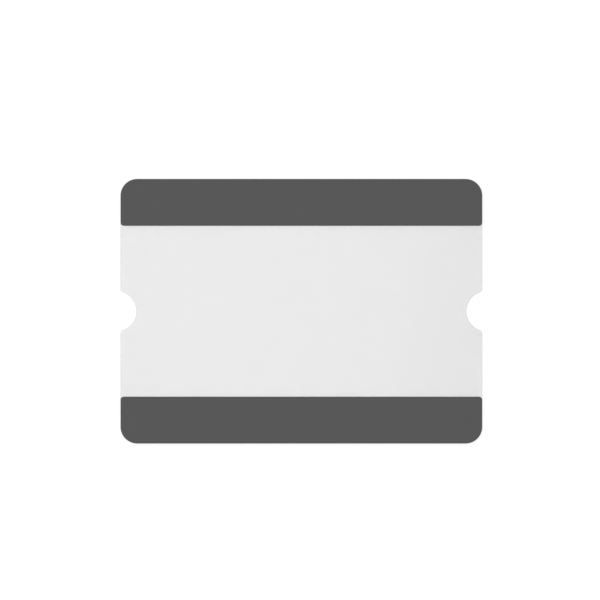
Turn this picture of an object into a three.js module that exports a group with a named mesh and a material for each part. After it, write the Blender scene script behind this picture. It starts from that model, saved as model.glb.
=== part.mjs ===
// Self-adhesive marking pocket: a flat sleeve of two clear films, open at its left and right ends.
// Seam tapes join the films along the long edges, dark grey bands cover those edges on the face,
// and two adhesive strips with release liners lie behind them on the back.
// Millimetres, +Z up, X along the long edges. The pocket lies on its back: the origin is the middle
// of its outline, in the plane of the surface that the liners rest on.

import * as THREE from 'three';

// The card that slides in from either end, one third of an A4 sheet
const INSERT_WIDTH = 210;
const INSERT_HEIGHT = 99;
const INSERT_END_MARGIN = 3;
const INSERT_SIDE_CLEARANCE = 1.5;

// Dark bands along the long edges, and the films' outline round them
const BAND_HEIGHT = 28;
const BAND_INNER_CORNER_RADIUS = 2;
const CORNER_RADIUS = 10;

// Thumb notches in the middle of both open ends
const NOTCH_RADIUS = 12;
const NOTCH_DEPTH = 9.5;
const NOTCH_LIP_RADIUS = 2;

// How far each hidden strip stays inside the edge of its band
const SEAM_TAPE_SETBACK = 0.5;
const ADHESIVE_SETBACK = 1.5;
const LINER_SETBACK = 0.5;

// Thickness of each layer, from the back to the face
const LINER_THICKNESS = 0.12;
const ADHESIVE_THICKNESS = 0.5;
const BACK_SHEET_THICKNESS = 0.3;
const SEAM_TAPE_THICKNESS = 0.5;
const WINDOW_SHEET_THICKNESS = 0.3;
const BAND_THICKNESS = 0.25;

// Finest turn between two points of a round outline, and the least distance between two points
const ARC_STEP = THREE.MathUtils.degToRad(6);
const SAME_POINT = 1e-4;

const QUARTER_TURN = Math.PI / 2;
const HALF_TURN = Math.PI;

const pocketWidth = INSERT_WIDTH + 2 * INSERT_END_MARGIN;
const windowHeight = INSERT_HEIGHT + 2 * INSERT_SIDE_CLEARANCE;
const pocketHeight = windowHeight + 2 * BAND_HEIGHT;

// Levels of the layers' lower faces
const adhesiveLevel = LINER_THICKNESS;
const backSheetLevel = adhesiveLevel + ADHESIVE_THICKNESS;
const seamTapeLevel = backSheetLevel + BACK_SHEET_THICKNESS;
const windowSheetLevel = seamTapeLevel + SEAM_TAPE_THICKNESS;
const bandLevel = windowSheetLevel + WINDOW_SHEET_THICKNESS;

const clearFilm = new THREE.MeshStandardMaterial({
  color: 0xe6e7e7, roughness: 0.16, metalness: 0, transparent: true, opacity: 0.4,
});
const darkFilm = new THREE.MeshStandardMaterial({ color: 0x585856, roughness: 0.62, metalness: 0 });
const seamFoam = new THREE.MeshStandardMaterial({ color: 0x4a4a48, roughness: 0.85, metalness: 0 });
const whiteFoam = new THREE.MeshStandardMaterial({ color: 0xe9e8e3, roughness: 0.9, metalness: 0 });
const linerPaper = new THREE.MeshStandardMaterial({ color: 0xd9cda9, roughness: 0.45, metalness: 0 });

function arc(centreX, centreY, radius, from, to) {
  const steps = Math.ceil(Math.abs(to - from) / ARC_STEP);
  return Array.from({ length: steps + 1 }, (_, i) => {
    const angle = from + (to - from) * i / steps;
    return new THREE.Vector2(centreX + radius * Math.cos(angle), centreY + radius * Math.sin(angle));
  });
}

// A closed outline from points in counter-clockwise order, each point kept once
function outline(points) {
  return new THREE.Shape(points.filter((p, i) => p.distanceTo(points.at(i - 1)) > SAME_POINT));
}

function extruded(shape, thickness) {
  return new THREE.ExtrudeGeometry(shape, { depth: thickness, bevelEnabled: false });
}

// The thumb notch of the right end, or of the left end at half a turn: a round bite whose two
// lips run smoothly into the film's straight edge
function notchPoints(turn) {
  const side = Math.cos(turn);
  const biteX = pocketWidth / 2 + NOTCH_RADIUS - NOTCH_DEPTH;
  const lipX = pocketWidth / 2 - NOTCH_LIP_RADIUS;
  const lipY = Math.sqrt((NOTCH_RADIUS + NOTCH_LIP_RADIUS) ** 2 - (biteX - lipX) ** 2);
  const lipAngle = Math.atan2(lipY, biteX - lipX);
  return [
    ...arc(side * lipX, -side * lipY, NOTCH_LIP_RADIUS, turn, turn + lipAngle),
    ...arc(side * biteX, 0, NOTCH_RADIUS, turn + HALF_TURN + lipAngle, turn + HALF_TURN - lipAngle),
    ...arc(side * lipX, side * lipY, NOTCH_LIP_RADIUS, turn - lipAngle, turn),
  ];
}

function sheetOutline() {
  const cornerX = pocketWidth / 2 - CORNER_RADIUS;
  const cornerY = pocketHeight / 2 - CORNER_RADIUS;
  return outline([
    ...arc(cornerX, -cornerY, CORNER_RADIUS, -QUARTER_TURN, 0),
    ...notchPoints(0),
    ...arc(cornerX, cornerY, CORNER_RADIUS, 0, QUARTER_TURN),
    ...arc(-cornerX, cornerY, CORNER_RADIUS, QUARTER_TURN, HALF_TURN),
    ...notchPoints(HALF_TURN),
    ...arc(-cornerX, -cornerY, CORNER_RADIUS, HALF_TURN, HALF_TURN + QUARTER_TURN),
  ]);
}

// A strip along the upper long edge: the band's own outline, drawn in by a setback
function stripOutline(setback) {
  const right = pocketWidth / 2 - setback;
  const top = pocketHeight / 2 - setback;
  const bottom = windowHeight / 2 + setback;
  const outerRadius = CORNER_RADIUS - setback;
  const innerRadius = Math.max(BAND_INNER_CORNER_RADIUS - setback, 0);
  return outline([
    ...arc(right - innerRadius, bottom + innerRadius, innerRadius, -QUARTER_TURN, 0),
    ...arc(right - outerRadius, top - outerRadius, outerRadius, 0, QUARTER_TURN),
    ...arc(-right + outerRadius, top - outerRadius, outerRadius, QUARTER_TURN, HALF_TURN),
    ...arc(-right + innerRadius, bottom + innerRadius, innerRadius, HALF_TURN, HALF_TURN + QUARTER_TURN),
  ]);
}

function sheet(name, level, thickness) {
  const mesh = new THREE.Mesh(extruded(sheetOutline(), thickness), clearFilm);
  mesh.name = name;
  mesh.position.z = level;
  return mesh;
}

// The same strip along both long edges, the lower one turned half round
function stripPair(kind, setback, level, thickness, material) {
  return ['upper', 'lower'].map((edge) => {
    const mesh = new THREE.Mesh(extruded(stripOutline(setback), thickness), material);
    mesh.name = `${edge}_${kind}`;
    mesh.position.z = level;
    mesh.rotation.z = edge === 'lower' ? HALF_TURN : 0;
    return mesh;
  });
}

const pocket = new THREE.Group();
pocket.name = 'marking_pocket';
pocket.add(
  ...stripPair('release_liner', LINER_SETBACK, 0, LINER_THICKNESS, linerPaper),
  ...stripPair('adhesive_strip', ADHESIVE_SETBACK, adhesiveLevel, ADHESIVE_THICKNESS, whiteFoam),
  sheet('back_sheet', backSheetLevel, BACK_SHEET_THICKNESS),
  ...stripPair('seam_tape', SEAM_TAPE_SETBACK, seamTapeLevel, SEAM_TAPE_THICKNESS, seamFoam),
  sheet('window_sheet', windowSheetLevel, WINDOW_SHEET_THICKNESS),
  ...stripPair('band', 0, bandLevel, BAND_THICKNESS, darkFilm),
);

export default pocket;
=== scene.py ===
import math

import bmesh
import bpy
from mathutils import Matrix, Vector, geometry, noise


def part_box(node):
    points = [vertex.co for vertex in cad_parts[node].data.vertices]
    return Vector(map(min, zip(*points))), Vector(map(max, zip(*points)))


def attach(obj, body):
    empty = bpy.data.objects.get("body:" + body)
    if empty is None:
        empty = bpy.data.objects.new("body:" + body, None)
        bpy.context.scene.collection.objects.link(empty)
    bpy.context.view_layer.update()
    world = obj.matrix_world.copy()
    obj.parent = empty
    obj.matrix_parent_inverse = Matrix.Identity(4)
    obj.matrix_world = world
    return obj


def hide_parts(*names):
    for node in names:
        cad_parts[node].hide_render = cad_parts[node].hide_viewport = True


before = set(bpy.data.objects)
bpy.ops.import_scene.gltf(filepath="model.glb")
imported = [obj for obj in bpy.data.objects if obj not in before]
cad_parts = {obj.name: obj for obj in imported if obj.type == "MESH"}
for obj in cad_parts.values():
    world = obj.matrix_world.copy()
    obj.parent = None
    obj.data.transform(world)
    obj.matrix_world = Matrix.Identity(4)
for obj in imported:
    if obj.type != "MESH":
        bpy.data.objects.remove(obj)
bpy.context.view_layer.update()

# Self-adhesive marking pocket, lying on its back: two clear films joined along their long edges,
# dark film bands over those edges, and foam adhesive strips under release liners on the back.
# Every layer is a sheet with a die-cut outline: the strips lie flat, and the films bow apart slightly.
# Metres, in the CAD model's frame.

# The die-cut outline's own radii, which a box can't give
CORNER_RADIUS = 0.010
BAND_INNER_CORNER_RADIUS = 0.002
NOTCH_RADIUS = 0.012
NOTCH_DEPTH = 0.0095
NOTCH_LIP_RADIUS = 0.002

# How finely a round corner and a rounded edge are drawn, and how near two points count as one
CORNER_POINTS = 20
EDGE_POINTS = 3
SAME_POINT = 1e-6

# Radius of a cut edge in each stock, and how far in from the outline the cut can tint a layer: with painted
# shade on the films, and a paler cut colour on the bands
FILM_EDGE_RADIUS = 0.00006
FOAM_EDGE_RADIUS = 0.00012
PAPER_EDGE_RADIUS = 0.00003
RIM_WIDTH = 0.0004

# How far each film bows, up or down, at the middle of its open ends, and which share of that is left
# half way between them. The films also have soft ripples, and the grid lets them bend.
WINDOW_FILM_BOW = 0.00015
BACK_FILM_BOW = -0.00022
BOW_AT_MIDDLE = 0.6
RIPPLE_HEIGHT = 0.00005
RIPPLE_SIZE = 0.03
FILM_GRID = 0.003

# The photograph's frame: the camera looks straight down, and the pocket lies a little below and to
# the right of the picture's middle
PICTURE_WIDTH = 600
MM_PER_PIXEL = 0.597
POCKET_PIXEL = (301.4, 311.25)
LENS_MM = 100
SENSOR_MM = 36

# Studio light: brightness of the room on matt surfaces, of the white surroundings that are seen
# and mirrored, and of the two lamps
ROOM_LIGHT = 0.72
WHITE_SURROUNDINGS = 1.0
DAYLIGHT_ENERGY = 1.05
DAYLIGHT_SPREAD = math.radians(60)
DAYLIGHT_TURN = (math.radians(-42), 0, math.radians(52))
SOFTBOX_PLACE = (-0.19, 0.03, 1.6)
SOFTBOX_WIDTH = 0.9
SOFTBOX_WATTS = 1.8

# The floor, just below the pocket: its grey paint holds the shadow, and its glow makes it white
FLOOR_WIDTH = 12.0
FLOOR_DROP = 0.00002
FLOOR_SHADE = 0.28
FLOOR_GLOW = 0.76


class Nodes:
    """Adds nodes to a tree, and feeds each input with a value or with another node's output."""

    def __init__(self, tree):
        self.tree = tree

    def add(self, kind, settings=None, **inputs):
        node = self.tree.nodes.new(kind)
        for name, value in (settings or {}).items():
            setattr(node, name, value)
        for name, value in inputs.items():
            self.feed(node.inputs[name.replace("_", " ")], value)
        return node

    def feed(self, socket, value):
        if isinstance(value, bpy.types.NodeSocket):
            self.tree.links.new(value, socket)
        else:
            socket.default_value = value

    def maths(self, operation, *values, clamp=False):
        node = self.add("ShaderNodeMath", {"operation": operation, "use_clamp": clamp})
        for socket, value in zip(node.inputs, values):
            self.feed(socket, value)
        return node.outputs[0]

    def scaled(self, vector, amount):
        node = self.add("ShaderNodeVectorMath", {"operation": "SCALE"}, Scale=amount)
        self.feed(node.inputs[0], vector)
        return node.outputs[0]


# The form of every layer, as a node tree: an outline of corners with radii, filled and given a
# thickness, with rounded edges. The attribute cut_edge rises from 0 to 1 across the rim.


def flat_layer_tree():
    tree = bpy.data.node_groups.new("flat layer", "GeometryNodeTree")
    for label, socket in (
        ("Outline", "NodeSocketGeometry"),
        ("Level", "NodeSocketFloat"),
        ("Thickness", "NodeSocketFloat"),
        ("Edge Radius", "NodeSocketFloat"),
        ("Rim Width", "NodeSocketFloat"),
        ("Corner Points", "NodeSocketInt"),
        ("Edge Points", "NodeSocketInt"),
        ("Material", "NodeSocketMaterial"),
    ):
        tree.interface.new_socket(name=label, in_out="INPUT", socket_type=socket)
    tree.interface.new_socket(name="Layer", in_out="OUTPUT", socket_type="NodeSocketGeometry")
    n = Nodes(tree)
    given = n.add("NodeGroupInput").outputs
    rim, thickness, level = given["Rim Width"], given["Thickness"], given["Level"]

    corners = n.add("GeometryNodeMeshToCurve", Mesh=given["Outline"])
    radius = n.add("GeometryNodeInputNamedAttribute", {"data_type": "FLOAT"}, Name="corner_radius")
    rounded = n.add("GeometryNodeFilletCurve", {"mode": "POLY"}, Curve=corners.outputs[0],
                    Count=given["Corner Points"], Radius=radius.outputs[0], Limit_Radius=False)
    outline = n.add("GeometryNodeSetCurveNormal", {"mode": "Z_UP"}, Curve=rounded.outputs[0])

    # Across an edge: along the lower face, round the cut, and back along the upper face. A section
    # swept along the outline has its X outwards and its Y downwards.
    inwards = n.maths("MULTIPLY", rim, -1.0)
    upwards = n.maths("MULTIPLY", thickness, -1.0)
    bottom_rim = n.add("ShaderNodeCombineXYZ", X=inwards)
    top_edge = n.add("ShaderNodeCombineXYZ", Y=upwards)
    top_rim = n.add("ShaderNodeCombineXYZ", X=inwards, Y=upwards)
    section = n.add("GeometryNodeCurvePrimitiveQuadrilateral", {"mode": "POINTS"})
    n.feed(section.inputs["Point 1"], bottom_rim.outputs[0])
    n.feed(section.inputs["Point 2"], (0, 0, 0))
    n.feed(section.inputs["Point 3"], top_edge.outputs[0])
    n.feed(section.inputs["Point 4"], top_rim.outputs[0])
    opened = n.add("GeometryNodeSetSplineCyclic", Geometry=section.outputs[0], Cyclic=False)
    softened = n.add("GeometryNodeFilletCurve", {"mode": "POLY"}, Curve=opened.outputs[0],
                     Count=given["Edge Points"], Radius=given["Edge Radius"], Limit_Radius=False)
    place = n.add("GeometryNodeInputPosition")
    across = n.add("ShaderNodeSeparateXYZ", Vector=place.outputs[0])
    nearness = n.maths("SUBTRACT", 1.0, n.maths("DIVIDE", across.outputs["X"], inwards))
    marked = n.add("GeometryNodeStoreNamedAttribute", {"data_type": "FLOAT", "domain": "POINT"},
                   Geometry=softened.outputs[0], Name="cut_edge", Value=nearness)
    swept = n.add("GeometryNodeCurveToMesh", Curve=outline.outputs[0], Profile_Curve=marked.outputs[0])
    wall = n.add("GeometryNodeFlipFaces", Mesh=swept.outputs[0])

    # Both faces inside the rim
    side = n.add("GeometryNodeInputNormal")
    inner = n.add("GeometryNodeSetPosition", Geometry=outline.outputs[0],
                  Offset=n.scaled(side.outputs[0], inwards))
    lower = n.add("GeometryNodeFillCurve", {"mode": "NGONS"}, Curve=inner.outputs[0])
    thickness_offset = n.add("ShaderNodeCombineXYZ", Z=thickness)
    upper = n.add("GeometryNodeSetPosition", Geometry=lower.outputs[0], Offset=thickness_offset.outputs[0])
    lower_out = n.add("GeometryNodeFlipFaces", Mesh=lower.outputs[0])

    parts = n.add("GeometryNodeJoinGeometry")
    for piece in (wall, upper, lower_out):
        tree.links.new(piece.outputs[0], parts.inputs[0])
    closed = n.add("GeometryNodeMergeByDistance", Geometry=parts.outputs[0], Distance=SAME_POINT)
    level_offset = n.add("ShaderNodeCombineXYZ", Z=level)
    placed = n.add("GeometryNodeSetPosition", Geometry=closed.outputs[0], Offset=level_offset.outputs[0])
    smooth = n.add("GeometryNodeSetShadeSmooth", Geometry=placed.outputs[0], Shade_Smooth=True)
    real = n.add("GeometryNodeRealizeInstances", Geometry=smooth.outputs[0])
    finished = n.add("GeometryNodeSetMaterial", Geometry=real.outputs[0], Material=given["Material"])
    n.add("NodeGroupOutput", Layer=finished.outputs[0])
    return tree


# Outlines, as (x, y, radius) corners in counter-clockwise order


def film_outline(node):
    """The films' outline: a rounded rectangle with a thumb notch in the middle of both ends."""
    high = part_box(node)[1]
    right, top = high.x, high.y
    bite = right + NOTCH_RADIUS - NOTCH_DEPTH
    lip = right - NOTCH_LIP_RADIUS
    # A straight line touches both the bite's circle and the lip's. It runs from the notch's tip, before
    # that is rounded, to its mouth in the film's straight edge.
    lean = (lip - bite) / (NOTCH_RADIUS + NOTCH_LIP_RADIUS)
    rise = math.sqrt(1 - lean ** 2)
    tip = bite + NOTCH_RADIUS / lean
    mouth = (NOTCH_RADIUS - (right - bite) * lean) / rise
    right_end = (
        (right, -top, CORNER_RADIUS),
        (right, -mouth, NOTCH_LIP_RADIUS),
        (tip, 0, NOTCH_RADIUS),
        (right, mouth, NOTCH_LIP_RADIUS),
        (right, top, CORNER_RADIUS),
    )
    left_end = tuple((-x, -y, radius) for x, y, radius in right_end)
    return right_end + left_end


def strip_outline(node):
    """A strip along one long edge: the band's outline, drawn in as far as the strip's box is."""
    low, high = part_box(node)
    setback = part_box("window_sheet")[1].x - high.x
    outer = CORNER_RADIUS - setback
    inner = max(BAND_INNER_CORNER_RADIUS - setback, 0)
    bottom_radius, top_radius = (inner, outer) if low.y > 0 else (outer, inner)
    return (
        (high.x, low.y, bottom_radius),
        (high.x, high.y, top_radius),
        (low.x, high.y, top_radius),
        (low.x, low.y, bottom_radius),
    )


def divide_faces(mesh):
    """Divides a film's two wide faces, its only ones with many corners, so that the film can bow."""
    inside_outline, same_place = 1, 1e-7
    shape = bmesh.new()
    shape.from_mesh(mesh)
    wide_faces = [face for face in shape.faces if len(face.verts) > 4]
    for face in wide_faces:
        ring = list(face.verts)
        xs = [vert.co.x for vert in ring]
        ys = [vert.co.y for vert in ring]
        rows = round((max(ys) - min(ys)) / FILM_GRID)
        columns = round((max(xs) - min(xs)) / FILM_GRID)
        grid = [
            Vector((min(xs) + (column + 0.5) * FILM_GRID, min(ys) + (row + 0.5) * FILM_GRID))
            for row in range(rows) for column in range(columns)
        ]
        outline = [vert.co.to_2d() for vert in ring]
        places, _, triangles, sources, _, _ = geometry.delaunay_2d_cdt(
            outline + grid, [], [list(range(len(ring)))], inside_outline, same_place)
        level, upwards, finish = ring[0].co.z, face.normal.z > 0, face.material_index
        shape.faces.remove(face)
        corners = {
            index: ring[sources[index][0]] if sources[index][0] < len(ring)
            else shape.verts.new((*places[index], level))
            for index in {corner for triangle in triangles for corner in triangle}
        }
        for triangle in triangles:
            order = triangle if upwards else reversed(triangle)
            small = shape.faces.new([corners[index] for index in order])
            small.smooth = True
            small.material_index = finish
    shape.to_mesh(mesh)
    shape.free()


def bow_film(mesh, height):
    """Bows the film between the bands, by this height at its open ends, and adds soft ripples."""
    half_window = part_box("upper_band")[0].y
    half_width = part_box("upper_band")[1].x
    for vert in mesh.vertices:
        x, y, z = vert.co
        freedom = max(0.0, 1 - (y / half_window) ** 2) ** 2
        opening = BOW_AT_MIDDLE + (1 - BOW_AT_MIDDLE) * (x / half_width) ** 2
        ripple = RIPPLE_HEIGHT * noise.noise(Vector((x, y, height)) / RIPPLE_SIZE)
        vert.co.z = z + freedom * (height * opening + ripple)


def lay(name, node, outline, material, edge_radius, tree, bow=0.0):
    """Lays a layer in the place of its CAD node, as a plain mesh. Only a film has a bow."""
    low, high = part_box(node)
    count = len(outline)
    sides = [(i, (i + 1) % count) for i in range(count)]
    mesh = bpy.data.meshes.new(name)
    mesh.from_pydata([(x, y, 0) for x, y, _ in outline], sides, [])
    radii = mesh.attributes.new("corner_radius", "FLOAT", "POINT")
    radii.data.foreach_set("value", [radius for _, _, radius in outline])
    piece = bpy.data.objects.new(name, mesh)
    bpy.context.scene.collection.objects.link(piece)

    sizes = {
        "Level": low.z,
        "Thickness": high.z - low.z,
        "Edge Radius": edge_radius,
        "Rim Width": RIM_WIDTH,
        "Corner Points": CORNER_POINTS,
        "Edge Points": EDGE_POINTS,
        "Material": material,
    }
    modifier = piece.modifiers.new("flat layer", "NODES")
    modifier.node_group = tree
    for socket in tree.interface.items_tree:
        if socket.name in sizes:
            modifier[socket.identifier] = sizes[socket.name]
    depsgraph = bpy.context.evaluated_depsgraph_get()
    piece.data = bpy.data.meshes.new_from_object(piece.evaluated_get(depsgraph), depsgraph=depsgraph)
    piece.modifiers.remove(modifier)
    if bow:
        divide_faces(piece.data)
        bow_film(piece.data, bow)

    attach(piece, "root")
    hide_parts(node)


# Finishes


def new_finish(name):
    material = bpy.data.materials.new(name)
    material.use_nodes = True
    material.node_tree.nodes.clear()
    return material, Nodes(material.node_tree)


def surface_place(n):
    return n.add("ShaderNodeTexCoord").outputs["Object"]


def speckle(n, place, size, detail=2.0, roughness=0.5):
    """Soft random variation from 0 to 1, whose features are about this many metres across."""
    pattern = n.add("ShaderNodeTexNoise", Vector=place, Scale=1 / size, Detail=detail, Roughness=roughness)
    return pattern.outputs["Fac"]


def between(n, amount, low, high):
    """Takes an amount that runs from 0 to 1 to the range from low to high."""
    return n.add("ShaderNodeMapRange", Value=amount, To_Min=low, To_Max=high).outputs[0]


def blend_colours(n, amount, first, second):
    mix = n.add("ShaderNodeMix", {"data_type": "RGBA"})
    n.feed(mix.inputs["Factor"], amount)
    n.feed(mix.inputs[6], first)
    n.feed(mix.inputs[7], second)
    return mix.outputs[2]


def blend_surfaces(n, amount, first, second):
    mix = n.add("ShaderNodeMixShader")
    for socket, value in zip(mix.inputs, (amount, first, second)):
        n.feed(socket, value)
    return mix.outputs[0]


def relief(n, height, depth, strength=1.0, normal=None):
    bump = n.add("ShaderNodeBump", Height=height, Distance=depth, Strength=strength)
    if normal is not None:
        n.feed(bump.inputs["Normal"], normal)
    return bump.outputs[0]


def cut_edge(n):
    return n.add("ShaderNodeAttribute", {"attribute_name": "cut_edge"}).outputs["Fac"]


def clear_film():
    """Clear plastic film: slightly smoky, glossy, with soft waves, and with painted shade along its cut
    edge.
    """
    mirror_share, grazing_power = 0.035, 5.0
    haze_share, cut_edge_shade_share, cut_falloff = 0.10, 0.45, 3.0
    haze_colour, haze_roughness = (0.475, 0.475, 0.475, 1), 0.9
    wave_size, wave_depth = 0.045, 0.00025
    gloss_patch_size, glossiest, dullest = 0.012, 0.18, 0.26

    material, n = new_finish("clear film")
    place = surface_place(n)
    waves = relief(n, speckle(n, place, wave_size, detail=1.0), wave_depth)

    facing = n.add("ShaderNodeLayerWeight", Blend=0.5).outputs["Facing"]
    mirrored = between(n, n.maths("POWER", facing, grazing_power), mirror_share, 1.0)
    gloss_softness = between(n, speckle(n, place, gloss_patch_size), glossiest, dullest)
    shine = n.add("ShaderNodeBsdfAnisotropic", Color=(1, 1, 1, 1), Roughness=gloss_softness, Normal=waves)

    # Painted shade: the grey smoke grows towards the cut edge, so the film's rim renders darker
    haze_and_edge_shade = between(n, n.maths("POWER", cut_edge(n), cut_falloff), haze_share, cut_edge_shade_share)
    through = n.add("ShaderNodeBsdfTransparent", Color=(1, 1, 1, 1))
    smoke = n.add("ShaderNodeBsdfPrincipled", Base_Color=haze_colour, Roughness=haze_roughness, Normal=waves)
    smoke.inputs["Specular IOR Level"].default_value = 0.0

    body = blend_surfaces(n, haze_and_edge_shade, through.outputs[0], smoke.outputs[0])
    surface = blend_surfaces(n, mirrored, body, shine.outputs[0])
    n.add("ShaderNodeOutputMaterial", Surface=surface)
    return material


def dark_film():
    """Opaque dark grey film with a fine matt grain, and painted shade in the grain's pits."""
    light, dark = (0.066, 0.066, 0.066, 1), (0.062, 0.062, 0.062, 1)
    pit_shade_colour, cut_colour = (0.046, 0.046, 0.046, 1), (0.075, 0.075, 0.075, 1)
    grain_size, grain_depth, pit_shade_share = 0.00035, 0.0001, 0.35
    mottle_size, cut_falloff = 0.006, 6.0
    smoothest, roughest = 0.56, 0.68

    material, n = new_finish("dark film")
    place = surface_place(n)
    mottle = blend_colours(n, speckle(n, place, mottle_size, detail=3.0), dark, light)
    grain = speckle(n, place, grain_size, roughness=0.6)
    # Painted shade: the grain's low points are blended towards a darker grey
    pits = n.maths("MULTIPLY", n.maths("SUBTRACT", 1.0, grain), pit_shade_share)
    pit_shaded = blend_colours(n, pits, mottle, pit_shade_colour)
    edge = n.maths("POWER", cut_edge(n), cut_falloff)
    colour = blend_colours(n, edge, pit_shaded, cut_colour)
    shell = n.add("ShaderNodeBsdfPrincipled", Base_Color=colour,
                  Roughness=between(n, grain, smoothest, roughest), Normal=relief(n, grain, grain_depth))
    n.add("ShaderNodeOutputMaterial", Surface=shell.outputs[0])
    return material


def closed_cell_foam(name, cell_wall, cell_hollow_shade):
    """Matt foam tape, whose small closed cells show as shallow pits, with painted shade in each cell's
    hollow that is deeper in some patches than others.
    """
    cell_size, cell_depth, cell_relief = 0.00035, 0.00006, 0.8
    hollow_shade_falloff, patch_size, palest_patch = 1.2, 0.004, 0.6
    roughness = 0.88

    material, n = new_finish(name)
    place = surface_place(n)
    cells = n.add("ShaderNodeTexVoronoi", {"feature": "F1"}, Vector=place, Scale=1 / cell_size)
    from_middle = cells.outputs["Distance"]
    # Painted shade in the cells' hollows: strongest at each cell's middle
    hollow_shade = n.maths("SUBTRACT", 1.0, n.maths("MULTIPLY", from_middle, hollow_shade_falloff), clamp=True)
    patches = between(n, speckle(n, place, patch_size), palest_patch, 1.0)
    colour = blend_colours(n, n.maths("MULTIPLY", hollow_shade, patches), cell_wall, cell_hollow_shade)
    pits = relief(n, from_middle, cell_depth, strength=cell_relief)
    tape = n.add("ShaderNodeBsdfPrincipled", Base_Color=colour, Roughness=roughness, Normal=pits)
    n.add("ShaderNodeOutputMaterial", Surface=tape.outputs[0])
    return material


def seam_foam():
    # The second colour is the painted shade in the cells' hollows
    return closed_cell_foam("seam foam", (0.074, 0.074, 0.072, 1), (0.045, 0.045, 0.044, 1))


def adhesive_foam():
    # The second colour is the painted shade in the cells' hollows
    return closed_cell_foam("adhesive foam", (0.82, 0.81, 0.77, 1), (0.62, 0.61, 0.57, 1))


def liner_paper():
    """Release paper: pale, with faint fibres in clouds, slight cockles and a low sheen."""
    paper, fibre = (0.72, 0.64, 0.43, 1), (0.60, 0.52, 0.33, 1)
    fibre_size, fibre_length, tooth_depth = 0.0004, 8.0, 0.000006
    cloud_size = 0.005
    cockle_size, cockle_depth = 0.02, 0.00006
    smoothest, roughest = 0.40, 0.52

    material, n = new_finish("liner paper")
    place = surface_place(n)
    stretched = n.add("ShaderNodeMapping", Vector=place, Scale=(1 / fibre_length, 1, 1)).outputs[0]
    fibres = speckle(n, stretched, fibre_size, detail=4.0, roughness=0.65)
    clouds = speckle(n, place, cloud_size)
    colour = blend_colours(n, n.maths("MULTIPLY", fibres, clouds), paper, fibre)
    cockles = relief(n, speckle(n, place, cockle_size, detail=1.0), cockle_depth)
    tooth = relief(n, fibres, tooth_depth, normal=cockles)
    sheet = n.add("ShaderNodeBsdfPrincipled", Base_Color=colour,
                  Roughness=between(n, fibres, smoothest, roughest), Normal=tooth)
    n.add("ShaderNodeOutputMaterial", Surface=sheet.outputs[0])
    return material


# The pocket, from the back to the face


def build_pocket():
    tree = flat_layer_tree()
    film, band = clear_film(), dark_film()
    seam, adhesive, liner = seam_foam(), adhesive_foam(), liner_paper()
    for edge in ("upper", "lower"):
        for kind, node, slot, material, radius in (
            ("liner_paper", "release_liner", "liner_paper", liner, PAPER_EDGE_RADIUS),
            ("adhesive_foam", "adhesive_strip", "adhesive_foam", adhesive, FOAM_EDGE_RADIUS),
            ("seam_foam", "seam_tape", "seam_foam", seam, FOAM_EDGE_RADIUS),
            ("band_strip", "band", "dark_film", band, FILM_EDGE_RADIUS),
        ):
            cad = f"{edge}_{node}"
            lay(f"{edge}_{kind}", cad, strip_outline(cad), material, radius, tree)
    for name, node, bow in (
        ("back_film", "back_sheet", BACK_FILM_BOW),
        ("window_film", "window_sheet", WINDOW_FILM_BOW),
    ):
        lay(name, node, film_outline(node), film, FILM_EDGE_RADIUS, tree, bow)


# Studio


def white_surroundings(n):
    """1 for a ray that sees or mirrors the surroundings, and 0 for one that only carries light."""
    path = n.add("ShaderNodeLightPath").outputs
    seen = n.maths("MAXIMUM", path["Is Camera Ray"], path["Is Glossy Ray"])
    return n.maths("MAXIMUM", seen, path["Is Transmission Ray"])


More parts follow.
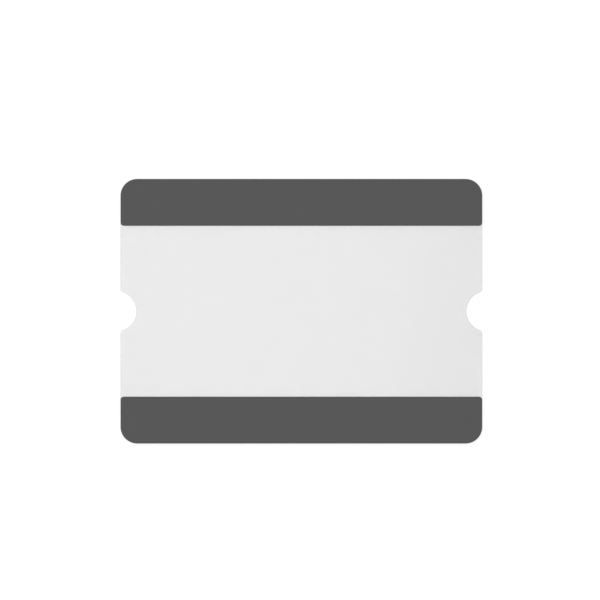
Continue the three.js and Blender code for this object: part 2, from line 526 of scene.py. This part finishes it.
def build_floor():
    half = FLOOR_WIDTH / 2
    corners = ((-half, -half), (half, -half), (half, half), (-half, half))
    mesh = bpy.data.meshes.new("floor")
    mesh.from_pydata([(x, y, -FLOOR_DROP) for x, y in corners], [], [(0, 1, 2, 3)])
    floor = bpy.data.objects.new("floor", mesh)
    bpy.context.scene.collection.objects.link(floor)
    material, n = new_finish("white floor")
    paint = n.add("ShaderNodeBsdfDiffuse", Color=(FLOOR_SHADE, FLOOR_SHADE, FLOOR_SHADE, 1))
    glow = n.add("ShaderNodeEmission", Color=(1, 1, 1, 1),
                 Strength=n.maths("MULTIPLY", white_surroundings(n), FLOOR_GLOW))
    both = n.add("ShaderNodeAddShader")
    n.feed(both.inputs[0], paint.outputs[0])
    n.feed(both.inputs[1], glow.outputs[0])
    n.add("ShaderNodeOutputMaterial", Surface=both.outputs[0])
    mesh.materials.append(material)


def build_light():
    scene = bpy.context.scene
    scene.world = bpy.data.worlds.new("studio")
    scene.world.use_nodes = True
    scene.world.node_tree.nodes.clear()
    n = Nodes(scene.world.node_tree)
    strength = between(n, white_surroundings(n), ROOM_LIGHT, WHITE_SURROUNDINGS)
    room = n.add("ShaderNodeBackground", Color=(1, 1, 1, 1), Strength=strength)
    n.add("ShaderNodeOutputWorld", Surface=room.outputs[0])

    # Left out of mirrored light, because its glare would wipe out the film
    daylight = bpy.data.lights.new("daylight", "SUN")
    daylight.energy = DAYLIGHT_ENERGY
    daylight.angle = DAYLIGHT_SPREAD
    lamp = bpy.data.objects.new("daylight", daylight)
    lamp.rotation_euler = DAYLIGHT_TURN
    lamp.visible_glossy = False
    scene.collection.objects.link(lamp)

    softbox = bpy.data.lights.new("softbox", "AREA")
    softbox.shape = "DISK"
    softbox.size = SOFTBOX_WIDTH
    softbox.energy = SOFTBOX_WATTS
    overhead = bpy.data.objects.new("softbox", softbox)
    overhead.location = SOFTBOX_PLACE
    scene.collection.objects.link(overhead)


def build_camera():
    scene = bpy.context.scene
    camera = bpy.data.cameras.new("camera")
    camera.lens = LENS_MM
    camera.sensor_width = SENSOR_MM
    metres_per_pixel = MM_PER_PIXEL / 1000
    middle = PICTURE_WIDTH / 2
    distance = PICTURE_WIDTH * metres_per_pixel * LENS_MM / SENSOR_MM
    eye = bpy.data.objects.new("camera", camera)
    eye.location = (
        (middle - POCKET_PIXEL[0]) * metres_per_pixel,
        (POCKET_PIXEL[1] - middle) * metres_per_pixel,
        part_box("upper_band")[1].z + distance,
    )
    scene.collection.objects.link(eye)
    scene.camera = eye
    scene.view_settings.view_transform = "Standard"


build_pocket()
build_floor()
build_light()
build_camera()
